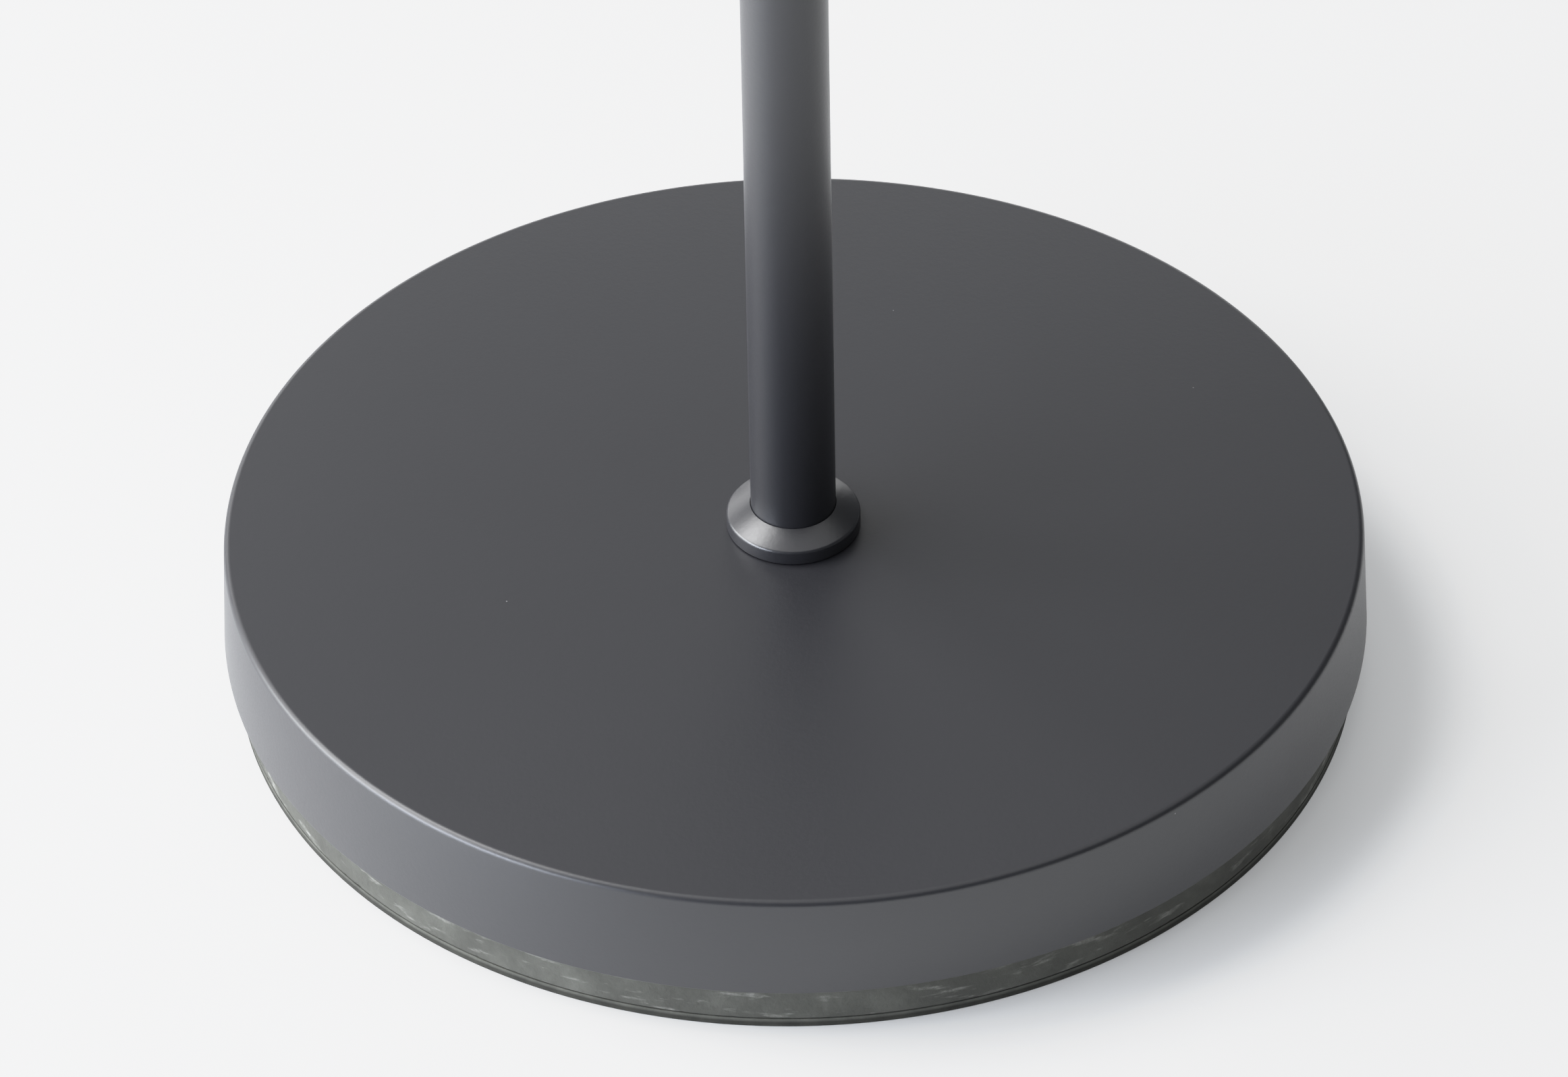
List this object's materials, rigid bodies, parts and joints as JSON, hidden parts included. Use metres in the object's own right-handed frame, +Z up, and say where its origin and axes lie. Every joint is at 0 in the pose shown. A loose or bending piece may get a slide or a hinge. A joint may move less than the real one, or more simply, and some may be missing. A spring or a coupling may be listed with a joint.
{
  "type": "standing coat rack",
  "caption": "Free-standing coat rack: a slim round pole on a heavy round base, with upturned ball-ended hooks near the top.",
  "frame": {"origin": "on the pole's axis, at the floor under the foot ring", "axes": "+Z up along the pole; the upper tier's hooks point along +X, +Y, -X and -Y"},
  "size_m": [0.343, 0.343, 1.7447],
  "materials": {
    "powder_coat": "satin",
    "cast_stone": "matte",
    "foot_rubber": "matte",
    "zinc_steel": "satin",
    "tip_plastic": "matte"
  },
  "bodies": {
    "root": {"base_shell": "powder_coat", "base_weight": "cast_stone", "foot_ring": "foot_rubber", "base_washer": "zinc_steel", "base_lock_washer": "zinc_steel", "base_bolt": "zinc_steel", "foot_collar": "powder_coat", "lower_tube": "powder_coat", "middle_tube": "powder_coat", "upper_tube": "powder_coat", "lower_tube_foot_insert": "zinc_steel", "lower_tube_top_insert": "zinc_steel", "middle_tube_bottom_insert": "zinc_steel", "middle_tube_top_insert": "zinc_steel", "upper_tube_bottom_insert": "zinc_steel", "lower_joint_stud": "zinc_steel", "upper_joint_stud": "zinc_steel", "top_cap": "powder_coat", "upper_hook_hub": "powder_coat", "upper_hub_set_screw_1": "zinc_steel", "upper_hub_set_screw_2": "zinc_steel", "upper_hook_1": "powder_coat", "upper_hook_2": "powder_coat", "upper_hook_3": "powder_coat", "upper_hook_4": "powder_coat", "upper_hook_tip_1": "tip_plastic", "upper_hook_tip_2": "tip_plastic", "upper_hook_tip_3": "tip_plastic", "upper_hook_tip_4": "tip_plastic", "lower_hook_hub": "powder_coat", "lower_hub_set_screw_1": "zinc_steel", "lower_hub_set_screw_2": "zinc_steel", "lower_hook_1": "powder_coat", "lower_hook_2": "powder_coat", "lower_hook_3": "powder_coat", "lower_hook_4": "powder_coat", "lower_hook_tip_1": "tip_plastic", "lower_hook_tip_2": "tip_plastic", "lower_hook_tip_3": "tip_plastic", "lower_hook_tip_4": "tip_plastic"}
  },
  "joints": []
}
